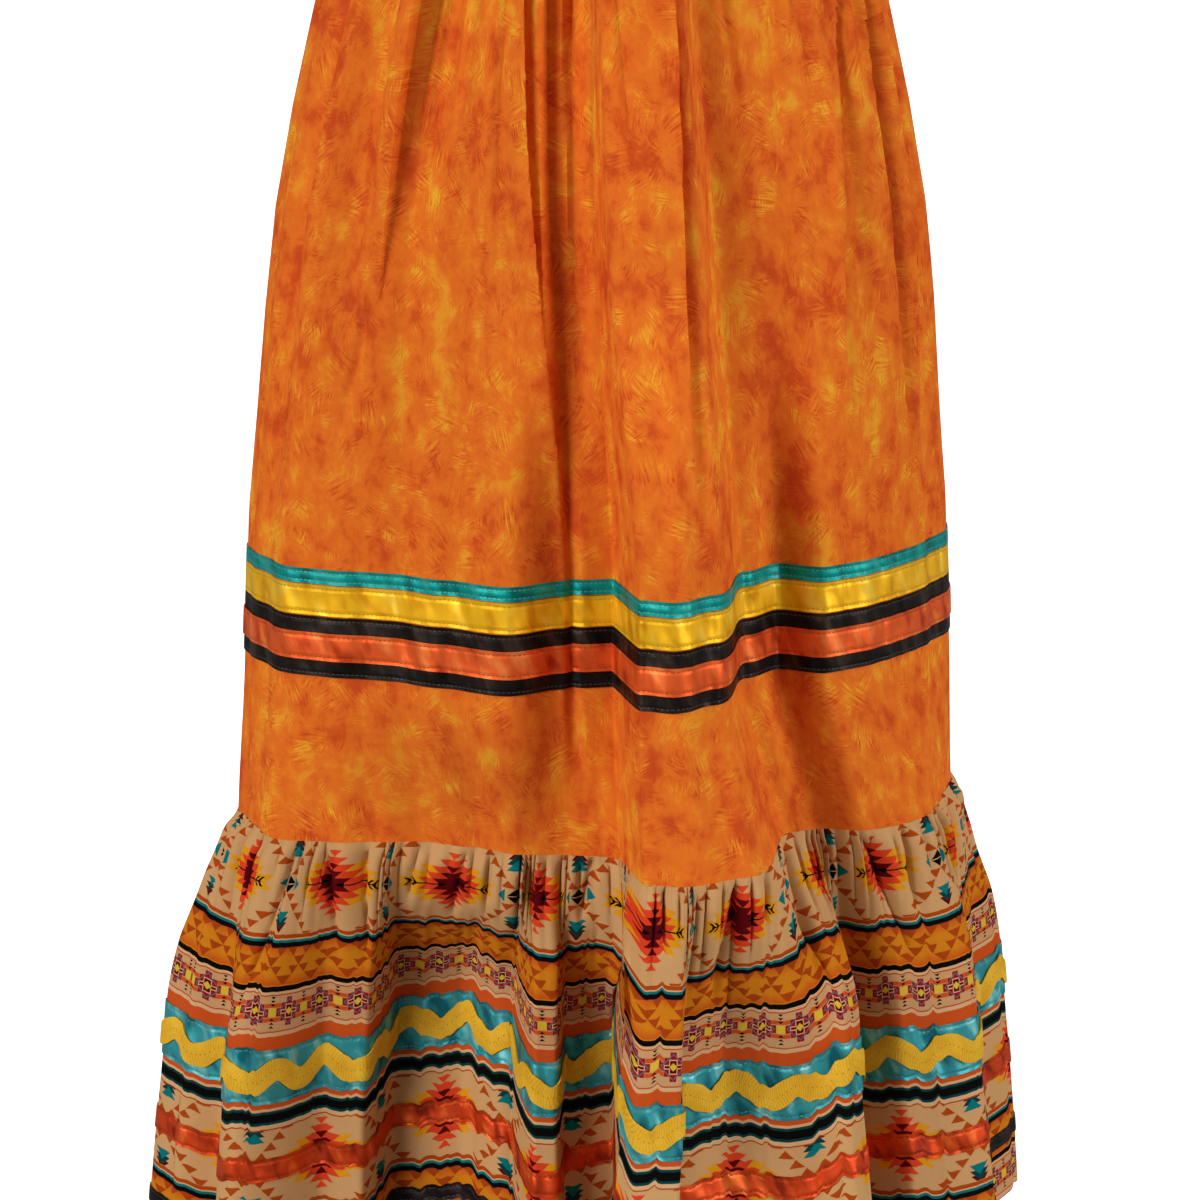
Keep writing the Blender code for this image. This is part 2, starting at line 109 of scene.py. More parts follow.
# Fold lines of the orange cloth. Columns: angle at the waist, at the ribbons and at the seam
# (degrees, 0 front, 90 the side on +X), then how far the cloth stands out at the waist, hip,
# ribbons and seam (mm).
FOLDS = np.array((
    (-90.0, -90.0, -90.0,   0.0,  0.0,  0.0,   0.0),
    (-72.0, -79.0, -82.0,  -5.0, -6.0, -3.0,  -1.0),
    (-63.5, -69.0, -70.0,   7.0,  6.0,  2.0,   5.0),
    (-55.0, -57.0, -56.0,   0.0,  0.0, -3.0, -10.0),
    (-47.0, -48.0, -47.0,  13.0,  7.0, -8.0, -22.0),
    (-42.5, -43.0, -38.0,  -7.0, -2.0, -8.0, -30.0),
    (-34.0, -33.0, -28.0,   3.0,  3.0,  3.0, -22.0),
    (-28.0, -22.0, -20.0,  11.0, 12.0, 20.0,  -7.0),
    (-24.2, -13.7, -13.0,   9.0,  8.0,  4.0,  -6.0),
    (-22.4, -12.0,  -9.8, -11.0, -9.0, -1.0,  -2.0),
    (-16.4, -10.2,  -7.5, -13.0, -8.0,  2.0,   0.0),
    (-13.7,  -5.6,  -5.0,   7.0,  3.0,  1.0,   8.0),
    (-11.0,  -4.0,  -3.6,   6.0, 22.0, 62.0,  64.0),
    ( -4.8,   0.0,   2.0,   3.0, 24.0, 72.0,  71.0),
    (  4.5,   6.0,  10.0,  13.0, 26.0, 58.0,  62.0),
    (  9.0,  15.5,  25.5,  -6.0, -6.0,  2.0, -14.0),
    ( 19.0,  23.0,  30.0,   0.0, -2.0, -12.0, -14.0),
    ( 29.0,  29.0,  38.0,   3.0,  3.0, 11.0,   7.0),
    ( 36.0,  37.0,  44.0,   6.0,  5.0,  9.0,  10.0),
    ( 41.0,  43.0,  50.0,   0.0,  1.0,  5.0,  10.0),
    ( 46.0,  48.0,  54.0,   8.0,  5.0,  2.0,   8.0),
    ( 51.0,  52.0,  59.0,  -1.0,  0.0,  0.0,   3.0),
    ( 58.0,  58.5,  65.0,  11.0,  8.0, -2.0,  -2.0),
    ( 62.5,  64.0,  71.0,  -7.0, -5.0, -5.0,  -6.0),
    ( 76.0,  77.0,  80.0,   3.0,  2.0, -2.0,  -5.0),
    ( 90.0,  90.0,  90.0,   0.0,  0.0,  0.0,   0.0),
    (104.0, 103.0, 102.0,   8.0,  6.0,  6.0,  10.0),
    (113.0, 113.0, 113.0,  -6.0, -5.0, -8.0, -10.0),
    (124.0, 125.0, 125.0,  12.0,  9.0, 12.0,  16.0),
    (134.0, 136.0, 137.0,  -8.0, -7.0, -10.0, -14.0),
    (145.0, 147.0, 148.0,   6.0,  6.0,  8.0,   6.0),
    (153.0, 155.0, 157.0,  -4.0, -4.0, -9.0, -16.0),
    (160.0, 163.0, 164.0,   9.0, 12.0, 26.0,  34.0),
    (172.0, 174.0, 176.0,   6.0,  9.0, 20.0,  30.0),
    (178.0, 181.0, 184.0, -10.0, -8.0, -8.0, -12.0),
    (187.0, 191.0, 194.0,  10.0,  8.0,  6.0,   3.0),
    (196.0, 199.0, 202.0,  -7.0, -6.0, -9.0, -14.0),
    (206.0, 208.0, 209.0,   9.0, 10.0, 18.0,  22.0),
    (217.0, 218.0, 219.0,   5.0,  5.0, 10.0,  14.0),
    (225.0, 226.0, 227.0,  -8.0, -6.0, -9.0, -12.0),
    (237.0, 238.0, 238.0,  10.0,  8.0,  8.0,  10.0),
    (248.0, 249.0, 249.0,  -5.0, -5.0, -6.0,  -8.0),
    (259.0, 260.0, 260.0,   6.0,  5.0,  5.0,   7.0),
))
HIP_LEVEL = 0.270
RIBBON_ZONE = (0.460, 0.545)
WAIST_SHARE = 0.30
FOLD_ANGLES = ((BAND_HALF, 0), (RIBBON_ZONE[0], 1), (RIBBON_ZONE[1], 1), (-SEAM_Z, 2))
FOLD_RISES = ((0.110, 3), (HIP_LEVEL, 4), (RIBBON_ZONE[0], 5), (RIBBON_ZONE[1], 5), (-SEAM_Z, 6))

# Fine creases of the orange cloth, pressed or drawn in by the gathers. Columns: level where it
# starts and ends (mm), angle there (degrees), half width and height (mm, minus is a valley).
CREASES = (
    (16, 330,  -70.0, -77.0,  5.0, -2.6),
    (16, 420,  -66.0, -72.0,  6.0,  2.2),
    (30, 260,  -52.0, -53.0,  4.0, -2.2),
    (16, 240,  -37.5, -36.0,  5.0, -3.0),
    (16, 300,  -30.0, -27.5,  4.0,  2.2),
    (40, 330,  -28.0, -25.5,  3.5, -2.0),
    (20, 300,  -15.6, -14.8,  5.0, -4.0),
    (290, 390, -49.0, -57.5,  4.0, -4.5),
    (16, 320,   -9.6,  -0.2,  5.0, -4.5),
    (10, 320,  -18.7, -12.6,  9.0, 12.0),
    (16, 260,  -41.5, -42.5,  6.0,  5.0),
    (30, 210,   13.5,  18.5,  4.0, -3.0),
    (16, 280,   16.0,  21.0,  5.0,  2.0),
    (60, 250,   24.5,  26.0,  3.5, -1.8),
    (90, 200,   26.5,  27.0,  1.6,  1.4),
    (16, 150,   38.0,  39.5,  3.0, -2.0),
    (16, 220,   43.5,  45.0,  3.5,  1.6),
    (16, 180,   66.5,  67.5,  3.5,  1.8),
    (420, 600,   1.5,   2.5,  1.8,  1.2),
    (380, 600,  20.5,  26.0,  1.8,  1.2),
    (400, 560,  31.6,  34.0,  1.8, -1.0),
    (430, 540,  70.0,  72.0,  2.0, -1.2),
    (16, 260,  118.0, 119.0,  5.0, -2.4),
    (16, 330,  129.5, 130.5,  4.0,  2.2),
    (30, 280,  149.5, 151.0,  4.0, -2.2),
    (16, 240,  166.0, 168.5,  4.0, -2.6),
    (40, 340,  183.0, 186.0,  4.0,  2.0),
    (16, 220,  201.5, 203.5,  4.0,  2.4),
    (16, 300,  212.0, 213.0,  4.0, -2.2),
    (30, 250,  231.5, 232.0,  5.0,  2.2),
    (16, 260,  243.0, 243.5,  4.0, -2.0),
    (16, 200,  254.0, 254.5,  4.0,  2.0),
)

# Folds of the orange cloth that lie over the cloth beside them. Columns: the edge's path (level in
# mm, angle in degrees), rise of the edge, drop beside it, overlap, widths of the fold and of the
# hollow beside it (mm).
LAPS = (
    (((16, -47.0), (190, -47.0), (285, -47.6), (345, -48.6)), 6.0, 9.0, 3.5, 17.0, 8.0),
    (((16, -27.0), (120, -24.8), (200, -22.4), (300, -18.6), (408, -14.0), (480, -12.0)),
     6.0, 6.0, 4.0, 10.0, 5.0),
    (((16, 4.4), (120, 3.8), (232, 3.4), (331, 3.8), (470, 3.7)), 6.5, 10.0, 2.5, 13.0, 10.0),
    (((16, 29.0), (124, 30.1), (144, 32.1), (190, 33.6)), 2.0, 3.0, 0.0, 6.0, 6.0),
    (((16, 48.0), (124, 43.6), (207, 38.4), (292, 36.3), (430, 35.9)), 4.0, 6.0, 1.2, 10.0, 9.0),
    (((16, 57.0), (126, 53.5), (200, 51.2), (300, 51.9), (366, 53.4), (480, 56.0)),
     5.5, 9.0, 2.5, 9.0, 10.0),
    (((16, 67.0), (200, 66.0), (420, 69.0)), 3.0, 3.5, 0.5, 8.0, 10.0),
    (((16, 116.0), (180, 117.0), (360, 119.0)), 4.0, 7.0, 2.0, 12.0, 14.0),
    (((16, 141.0), (200, 143.0), (320, 144.0)), 3.0, 4.0, 0.6, 9.0, 10.0),
    (((16, 168.0), (150, 170.0), (300, 173.5), (450, 176.0)), 5.5, 9.0, 3.0, 12.0, 14.0),
    (((16, 192.0), (180, 194.5), (330, 197.0)), 4.0, 5.0, 1.5, 10.0, 12.0),
    (((16, 219.0), (200, 221.0), (430, 222.5)), 4.5, 8.0, 2.0, 12.0, 14.0),
    (((16, 250.0), (170, 248.0), (340, 246.5)), 3.5, 5.0, 1.0, 9.0, 11.0),
)

# Cloth down the flounce, half width, half depth of the front, half depth of the back
FLARE = np.array((
    (0.000, 0.2360, 0.1300, 0.1390),
    (0.018, 0.2430, 0.1310, 0.1430),
    (0.050, 0.2510, 0.1300, 0.1460),
    (0.097, 0.2600, 0.1270, 0.1470),
    (0.144, 0.2660, 0.1240, 0.1480),
    (0.182, 0.2700, 0.1250, 0.1490),
    (0.236, 0.2740, 0.1300, 0.1530),
    (0.285, 0.2770, 0.1360, 0.1570),
    (0.330, 0.2790, 0.1410, 0.1600),
))

# Waves of the flounce. Columns: angle at the seam, at the teal ribbon and at the hem (degrees),
# then how far the cloth stands out at the ribbon and at the hem (mm).
WAVES = np.array((
    (-90.0, -90.0, -90.0,  12.0,  18.0),
    (-79.0, -79.0, -79.0,  -8.0, -10.0),
    (-66.0, -64.0, -64.0,  20.0,  26.0),
    (-55.0, -53.0, -53.0, -36.0, -42.0),
    (-46.0, -44.5, -44.5, -40.0, -42.0),
    (-42.0, -40.6, -40.6, -84.0, -84.0),
    (-29.0, -28.0, -28.0, -85.0, -82.0),
    (-20.0, -18.5, -19.0, -58.0, -54.0),
    (-16.5, -15.2, -15.4,  -6.0,   2.0),
    (-13.8, -12.6, -12.4,  -4.0,   4.0),
    (-11.5, -10.6, -10.4, -34.0, -28.0),
    ( -5.2,  -2.6,  -3.6, -34.0, -30.0),
    ( -4.2,  -6.3,  -8.8,  76.0,  76.0),
    ( -2.6,  -4.8,  -7.2,  82.0,  84.0),
    (  0.6,   0.4,  -1.6,  80.0,  84.0),
    (  2.8,   2.2,   0.9,  42.0,  44.0),
    (  9.0,   9.5,  10.0,  30.0,  34.0),
    ( 17.0,  17.5,  18.0,  36.0,  42.0),
    ( 24.0,  23.6,  24.1,  54.0,  62.0),
    ( 28.0,  26.5,  27.0,  46.0,  54.0),
    ( 33.0,  31.6,  32.0, -22.0, -18.0),
    ( 39.0,  38.5,  39.0,  18.0,  24.0),
    ( 54.0,  52.0,  52.0,  28.0,  38.0),
    ( 64.0,  62.0,  61.0,  -6.0,  -8.0),
    ( 78.0,  78.0,  78.0, -16.0, -12.0),
    ( 90.0,  90.0,  90.0, -10.0,  -4.0),
    (101.0, 101.0, 101.0,  26.0,  32.0),
    (112.0, 112.0, 112.0, -14.0, -18.0),
    (123.0, 123.0, 123.0,  26.0,  34.0),
    (135.0, 135.0, 135.0, -22.0, -26.0),
    (147.0, 147.0, 147.0,  24.0,  32.0),
    (158.0, 158.0, 158.0, -24.0, -26.0),
    (166.0, 166.0, 166.0,  38.0,  46.0),
    (173.0, 173.0, 173.0,  40.0,  50.0),
    (182.0, 182.0, 182.0, -26.0, -30.0),
    (193.0, 193.0, 193.0,  22.0,  30.0),
    (204.0, 204.0, 204.0, -20.0, -24.0),
    (215.0, 215.0, 215.0,  34.0,  42.0),
    (228.0, 228.0, 228.0, -22.0, -26.0),
    (241.0, 241.0, 241.0,  24.0,  30.0),
    (254.0, 254.0, 254.0, -10.0, -12.0),
    (262.0, 262.0, 262.0,  26.0,  32.0),
))

# Creases that the gathering draws down from the flounce seam. Columns as for the orange cloth's,
# with levels down from the seam.
GATHER_CREASES = (
    (0, 60, -74.0, -75.0, 4.5, -6.3),
    (0, 130, -64.0, -66.0, 6.0, -11.2),
    (0, 100, -57.5, -51.0, 5.0, -9.8),
    (0, 105, -49.3, -45.0, 5.0, -9.8),
    (0, 55, -38.5, -39.5, 4.0, -6.3),
    (0, 75, -29.3, -30.5, 4.5, -7.0),
    (0, 45, -24.0, -24.2, 3.5, -5.6),
    (0, 110, -18.2, -15.6, 4.0, -8.4),
    (0, 85, -13.6, -12.3, 3.5, -7.7),
    (0, 60, -8.9, -9.8, 4.0, -8.4),
    (0, 55, -1.5, -0.8, 3.0, -5.6),
    (0, 100, 2.8, 2.2, 3.0, -6.3),
    (0, 110, 8.5, 5.8, 5.0, -9.8),
    (0, 50, 14.0, 13.2, 4.0, -6.3),
    (0, 130, 20.0, 24.6, 4.5, -8.4),
    (0, 60, 29.5, 28.6, 4.0, -7.0),
    (0, 110, 36.4, 43.0, 5.0, -11.2),
    (0, 80, 45.0, 44.4, 4.0, -8.4),
    (0, 65, 57.0, 56.0, 4.5, -7.0),
    (0, 95, 69.0, 71.0, 5.0, -8.4),
    (0, 70, 84.0, 83.0, 4.0, -7.0),
    (0, 110, 97.0, 98.5, 5.0, -9.8),
    (0, 60, 108.0, 107.0, 4.0, -7.0),
    (0, 120, 119.0, 121.0, 5.0, -9.8),
    (0, 75, 131.0, 130.0, 4.0, -7.0),
    (0, 100, 143.0, 144.5, 5.0, -9.8),
    (0, 55, 153.0, 152.5, 4.0, -6.3),
    (0, 115, 169.0, 168.0, 5.0, -9.8),
    (0, 70, 178.0, 179.0, 4.0, -7.0),
    (0, 90, 189.0, 190.5, 4.5, -8.4),
    (0, 60, 199.0, 198.5, 4.0, -7.0),
    (0, 120, 210.0, 211.5, 5.0, -9.8),
    (0, 65, 222.0, 221.5, 4.0, -7.0),
    (0, 100, 234.0, 235.5, 5.0, -9.1),
    (0, 75, 247.0, 246.0, 4.0, -7.0),
    (0, 90, 257.0, 258.0, 4.5, -8.4),
)
TEAL_TOP, TEAL_LOW = FLOUNCE_RIBBONS["teal"]
WAVE_ANGLES = ((0.0, 0), (TEAL_TOP, 1), (TEAL_LOW, 1), (FLOUNCE_LENGTH, 2))
WAVE_RISES = ((TEAL_LOW, 3), (FLOUNCE_LENGTH, 4))


def smooth(t):
    """Ease from 0 to 1."""
    t = np.clip(t, 0.0, 1.0)
    return t * t * (3.0 - 2.0 * t)


def line_values(table, steps, level, ease=False):
    """One value for each line of a table at a level, between the columns that the steps name."""
    marks = [mark for mark, _ in steps]
    k = int(np.clip(np.searchsorted(marks, level), 1, len(marks) - 1))
    t = np.clip((level - marks[k - 1]) / (marks[k] - marks[k - 1]), 0.0, 1.0)
    if ease:
        t = smooth(t)
    return table[:, steps[k - 1][1]] * (1.0 - t) + table[:, steps[k][1]] * t


def at_places(values, places, ease=False, turning=False):
    """The lines' values at places round the skirt: line number plus the way to the next line."""
    lines = np.floor(places).astype(int) % len(values)
    t = places - np.floor(places)
    first, last = values[lines], values[(lines + 1) % len(values)]
    if turning:
        last = np.where(last < first - 180.0, last + 360.0, last)
    if ease:
        t = smooth(t)
    return first + (last - first) * t


def oval(table, level, angles, columns):
    """Points and outward directions of the plain oval of a level."""
    half_width, front, back = (np.interp(level, table[:, 0], table[:, c]) for c in columns)
    s, c = np.sin(np.radians(angles)), np.cos(np.radians(angles))
    depth = np.where(c > 0.0, front, back)
    across = np.stack([s / half_width, -c / depth], -1)
    across /= np.linalg.norm(across, axis=-1, keepdims=True)
    return np.stack([half_width * s, -depth * c], -1), across


def standing_out(flat, across, rise, z):
    """Points that stand out from an oval by a rise, at a height."""
    flat = flat + across * rise[:, None]
    return np.concatenate([flat, np.full((len(flat), 1), z)], 1)


def crease_rise(creases, angles, level):
    """Height of the fine creases at a row of cloth."""
    total = np.zeros(len(angles))
    for start, end, first, last, half_width, height in creases:
        t = (level / MM - start) / (end - start)
        if not 0.0 < t < 1.0:
            continue
        share = smooth(t / 0.15) * smooth((1.0 - t) / 0.45)
        apart = (angles - first - (last - first) * t + 180.0) % 360.0 - 180.0
        total += height * MM * share * np.exp(-np.abs(apart) * ARC * 1.3 / half_width)
    return total


def lay_over(angles, level):
    """Angles and rises where folds lie over the cloth beside them, at a row of the orange cloth."""
    moved, total = angles.copy(), np.zeros(len(angles))
    for path, ridge, drop, overlap, wide, hollow in LAPS:
        marks, turns = zip(*path)
        t = (level / MM - marks[0]) / (marks[-1] - marks[0])
        if not 0.0 < t < 1.0:
            continue
        share = smooth(t / 0.15) * smooth((1.0 - t) / 0.55)
        apart = ARC * ((angles - np.interp(level / MM, marks, turns) + 180.0) % 360.0 - 180.0)
        beside = smooth(apart / 2.4 + 0.5)
        total += share * MM * (ridge * np.exp(-(apart / wide) ** 2) * (1.0 - beside)
                               - drop * np.exp(-(apart / hollow) ** 2) * beside)
        moved += share * overlap / ARC * np.exp(-(apart / 4.0) ** 2) * (1.0 - 2.0 * beside)
    return moved, total


def gather_rise(places, count, seed):
    """Uneven waves from -1 to 1 round the skirt, with a length of its own for each gather."""
    pick = np.random.default_rng(seed)
    marks = np.arange(count + 1) + np.r_[0.0, pick.uniform(-0.30, 0.30, count - 1), 0.0]
    size = pick.uniform(0.45, 1.25, count + 1)
    reach = pick.uniform(0.55, 1.45, count + 1)
    at = places * count
    phase = np.interp(at, marks, np.arange(count + 1.0))
    wave = 2.0 * np.sqrt(np.abs(np.cos(pi * phase))) - 1.0      # round ridges, sharp valleys
    return wave * np.interp(at, marks, size), np.interp(at, marks, reach)


def panel_row(places, turn, level):
    """Middle of the orange cloth at a level; turn is each place's share of the way round."""
    angles = at_places(line_values(FOLDS, FOLD_ANGLES, level), places, turning=True)
    share = WAIST_SHARE + (1.0 - WAIST_SHARE) * smooth((level - BAND_HALF) / 0.095)
    rises = line_values(FOLDS, FOLD_RISES, level, ease=True)
    rise = MM * share * at_places(rises, places, ease=True)
    rise = rise + crease_rise(CREASES, angles, level)
    angles, over = lay_over(angles, level)
    rise = rise + over
    wave, reach = gather_rise(turn, *WAIST_GATHERS)
    rise = rise + WAIST_RISE * wave * (1.0 - smooth((level - BAND_HALF) / (WAIST_RUN * reach)))
    flat, across = oval(SECTIONS, level, angles, (1, 2, 3))
    return standing_out(flat, across, rise, -level)


SEAM_PLACES = np.linspace(0.0, len(FOLDS), 1200)
SEAM_ANGLES = at_places(FOLDS[:, 2], SEAM_PLACES, turning=True)
SEAM_ANGLES[-1] = SEAM_ANGLES[0] + 360.0
SEAM_RISES = MM * at_places(FOLDS[:, 6], SEAM_PLACES, ease=True)


def flounce_row(places, turn, down):
    """Middle of the printed cloth at a length of cloth below the seam."""
    angles = at_places(line_values(WAVES, WAVE_ANGLES, down), places, turning=True)
    wave = MM * at_places(line_values(WAVES, WAVE_RISES, down), places, ease=True)
    share = smooth(down / TEAL_TOP)
    rise = np.interp(angles, SEAM_ANGLES, SEAM_RISES, period=360.0) * (1.0 - share) + wave * share
    fine, reach = gather_rise(turn, *SEAM_GATHERS)
    started = 0.25 + 0.75 * smooth(down / 0.014)
    rise = rise + SEAM_RISE * fine * started * (1.0 - smooth(down / (SEAM_RUN * reach)))
    wide, reach = gather_rise(turn, *SOFT_GATHERS)
    ended = smooth((down - 0.05) / (SOFT_RUN * reach))
    rise = rise + SOFT_RISE * wide * smooth(down / 0.05) * (1.0 - ended)
    rise = rise + crease_rise(GATHER_CREASES, angles, down)
    flat, across = oval(FLARE, down, angles, (1, 2, 3))
    return standing_out(flat, across, rise, SEAM_Z - down)


def hang(rows, lengths):
    """Lower each row by what its cloth length leaves after the way it goes in or out."""
    for above, row, length in zip(rows, rows[1:], TAKE_UP * np.diff(lengths)):
        aside = np.linalg.norm(row[:, :2] - above[:, :2], axis=1)
        row[:, 2] = above[:, 2] - np.sqrt(np.maximum(length ** 2 - aside ** 2, (0.3 * length) ** 2))


def even_places(row, start, stop, count):
    """Places of columns spread evenly over the cloth between two lines, and the cloth's length."""
    fine = np.linspace(start, stop, 5000)
    points = row(fine)
    length = np.r_[0.0, np.cumsum(np.linalg.norm(np.diff(points, axis=0), axis=1))]
    return np.interp(np.linspace(0.0, length[-1], count + 1), length, fine), length[-1]


class Cloth:
    """A closed grid of points round the skirt, with outward normals and flat-cloth coordinates."""

    def __init__(self, row, middle, side, lines, columns, rows):
        still = np.zeros(5000)
        front, front_width = even_places(lambda p: row(p, still, middle), 0.0, side, columns[0])
        back, back_width = even_places(lambda p: row(p, still, middle), side, lines, columns[1])
        places = np.r_[front[:-1], back[:-1]]
        self.side = columns[0]
        self.width = front_width + back_width
        self.widths = (front_width, back_width)
        self.u = np.r_[np.linspace(0.0, front_width, columns[0] + 1)[:-1],
                       front_width + np.linspace(0.0, back_width, columns[1] + 1)]
        self.v = np.array(rows)
        self.points = np.array([row(places, self.u[:-1] / self.width, level) for level in rows])
        if row is flounce_row:
            hang(self.points, self.v)
        along = np.roll(self.points, -1, 1) - np.roll(self.points, 1, 1)
        normals = np.cross(np.gradient(self.points, axis=0), along)
        self.normals = normals / np.linalg.norm(normals, axis=2, keepdims=True)

    def row_number(self, level):
        return int(np.argmin(np.abs(self.v - level)))

    def at(self, u, v, out):
        """Points over the cloth at flat coordinates, moved out from its middle."""
        column = np.interp(u % self.width, self.u, np.arange(len(self.u)))
        row = np.clip(np.interp(v, self.v, np.arange(len(self.v))), 0, len(self.v) - 1.001)
        i, j = np.floor(column).astype(int), np.floor(row).astype(int)
        s, t = (column - i)[..., None], (row - j)[..., None]
        count = self.points.shape[1]
        i, i2 = i % count, (i + 1) % count
        moved = self.points + self.normals * out
        upper = moved[j, i] * (1 - s) + moved[j, i2] * s
        lower = moved[j + 1, i] * (1 - s) + moved[j + 1, i2] * s
        return upper * (1 - t) + lower * t


def cloth_piece(name, points, u, v, thick, node, closed=False):
    """A grid moved to its draped form, with its flat-cloth UV map, given its thickness."""
    rows, columns = points.shape[:2]
    bpy.ops.object.select_all(action="DESELECT")
    bpy.ops.mesh.primitive_grid_add(x_subdivisions=columns - 1, y_subdivisions=rows - 1, size=1.0)
    piece = bpy.context.object
    piece.name = piece.data.name = name
    mesh = piece.data
    mesh.vertices.foreach_set("co", points[::-1].reshape(-1))
    corners = np.zeros(len(mesh.loops), int)
    mesh.loops.foreach_get("vertex_index", corners)
    flat = np.stack([np.broadcast_to(u, (rows, columns)), np.broadcast_to(v, (rows, columns))], -1)
    layer = mesh.uv_layers[0]
    layer.name = "flat_cloth"
    corner_places = flat[::-1].reshape(-1, 2)[corners].astype(np.float32)
    layer.uv.foreach_set("vector", corner_places.reshape(-1))
    if closed:
        body = bmesh.new()
        body.from_mesh(mesh)
        bmesh.ops.remove_doubles(body, verts=body.verts, dist=1e-6)
        body.to_mesh(mesh)
        body.free()
    mesh.update()
    wall = piece.modifiers.new("thickness", "SOLIDIFY")
    wall.thickness = thick
    wall.offset = 0.0
    bpy.ops.object.modifier_apply(modifier=wall.name)
    bpy.ops.object.shade_smooth_by_angle(angle=radians(60.0))
    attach(piece, "root")
    if node:
        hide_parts(node)
    return piece


def steps_between(marks, step):
    """Rows from the first mark to the last, on every mark and at most a step apart."""
    rows = [marks[0]]
    for low, high in zip(marks, marks[1:]):
        count = max(1, int(round((high - low) / step)))
        rows += list(np.linspace(low, high, count + 1)[1:])
    return rows


UPPER_SIDE = int(np.argmin(np.abs(FOLDS[:, 0] - 90.0)))
LOWER_SIDE = int(np.argmin(np.abs(WAVES[:, 0] - 90.0)))
ribbon_marks = sorted({edge for edges in UPPER_RIBBONS.values() for edge in edges})
upper_rows = steps_between([BAND_HALF + SEAM_GAP, 0.100, *ribbon_marks, -SEAM_Z], 0.009)
trim_marks = sorted({edge for edges in FLOUNCE_RIBBONS.values() for edge in edges})
lower_rows = steps_between([0.0, 0.060], 0.003)[:-1] + steps_between(
    [0.060, *trim_marks, FLOUNCE_LENGTH], 0.0048)

orange_cloth = Cloth(panel_row, 0.50, UPPER_SIDE, len(FOLDS), ORANGE_COLUMNS, upper_rows)
print_cloth = Cloth(flounce_row, RICRAC_MIDDLE, LOWER_SIDE, len(WAVES), PRINT_COLUMNS,
                    lower_rows)


def side_piece(name, cloth, front, thick, node):
    """The front or back piece of a cloth, from one side seam to the other."""
    first, last = (0, cloth.side) if front else (cloth.side, len(cloth.u) - 1)
    columns = np.arange(first, last + 1) % cloth.points.shape[1]
    points = cloth.points[:, columns].copy()
    points[:, 0] += (points[:, 1] - points[:, 0]) * 0.05
    points[:, -1] += (points[:, -2] - points[:, -1]) * 0.05
    return cloth_piece(name, points, cloth.u[first:last + 1], cloth.v[:, None], thick, node)


def ring(name, cloth, edges, under, thick, node):
    """A ribbon sewn flat round a cloth, between two of its rows."""
    first, last = (cloth.row_number(edge) for edge in edges)
    rows = slice(first, last + 1)
    points = cloth.points[rows] + cloth.normals[rows] * (under + thick / 2)
    points = np.concatenate([points, points[:, :1]], 1)
    return cloth_piece(name, points, cloth.u, cloth.v[rows, None], thick, node, closed=True)


# Waistband: a casing drawn up over its elastic, from its height and swell (shares)
band_profile = np.array(((-1.0, 0.0), (-0.86, 0.7), (-0.55, 1.0), (0.0, 1.05), (0.55, 1.0),
                         (0.86, 0.7), (1.0, 0.0)))
top_row, top_out = orange_cloth.points[0], orange_cloth.normals[0] * (1, 1, 0)
band_wave, _ = gather_rise(orange_cloth.u[:-1] / orange_cloth.width, *CASING_GATHERS)
band_rows = []
for height, swell in band_profile:
    line = top_row + top_out * (0.0009 + 0.0004 * swell + CASING_RISE * swell * band_wave[:, None])
    line[:, 2] = height * BAND_HALF
    band_rows.append(line)
band_points = np.array(band_rows)[::-1]
band_points = np.concatenate([band_points, band_points[:, :1]], 1)
waistband = cloth_piece("waistband_casing", band_points, orange_cloth.u,
                        np.linspace(-2.0 * BAND_HALF, 0.0, len(band_profile))[:, None],
                        CASING, "waistband", closed=True)

orange_front = side_piece("orange_front", orange_cloth, True, COTTON,
                          "panel_front")
orange_back = side_piece("orange_back", orange_cloth, False, COTTON,
                         "panel_back")
print_front = side_piece("print_front", print_cloth, True, COTTON,
                         "flounce_front")
print_back = side_piece("print_back", print_cloth, False, COTTON,
                        "flounce_back")

on_cloth = COTTON / 2 + LAY
on_ribbon = on_cloth + SATIN + LAY
satin = {}
for name, edges in UPPER_RIBBONS.items():
    under = on_ribbon if name == "orange" else on_cloth
    satin["upper_" + name] = ring("satin_" + name, orange_cloth, edges, under, SATIN,
                                  "ribbon_" + name)
for name, edges in FLOUNCE_RIBBONS.items():
    satin["flounce_" + name] = ring("flounce_satin_" + name, print_cloth, edges, on_cloth, SATIN,
                                    "flounce_ribbon_" + name)

# Ric-rac: a braid that swings evenly above and below its middle
waves = round(print_cloth.width / RICRAC_WAVE)
along = np.linspace(0.0, print_cloth.width, waves * 24 + 1)
turn = 2.0 * pi * waves * along / print_cloth.width
middle = RICRAC_MIDDLE + RICRAC_SWING * np.sin(turn)
slope = RICRAC_SWING * np.cos(turn) * 2.0 * pi * waves / print_cloth.width
size = np.sqrt(1.0 + slope ** 2)
shares = np.array((-1.0, -0.8, -0.3, 0.3, 0.8, 1.0))[:, None]
lift = np.array((0.0, 1.0, 1.0, 1.0, 1.0, 0.0))[:, None, None]
braid_u = along - shares * RICRAC_HALF * 0.5 * slope / size
braid_v = middle + shares * RICRAC_HALF
braid_low = print_cloth.at(braid_u, braid_v, on_ribbon + BRAID / 2)
braid_high = print_cloth.at(braid_u, braid_v, on_ribbon + BRAID / 2 + 0.0002)
braid_points = braid_low * (1 - lift) + braid_high * lift
ric_rac = cloth_piece("ric_rac_braid", braid_points, along,
                      (shares * RICRAC_HALF + 0 * along), BRAID, "ric_rac",
                      closed=True)


# Materials

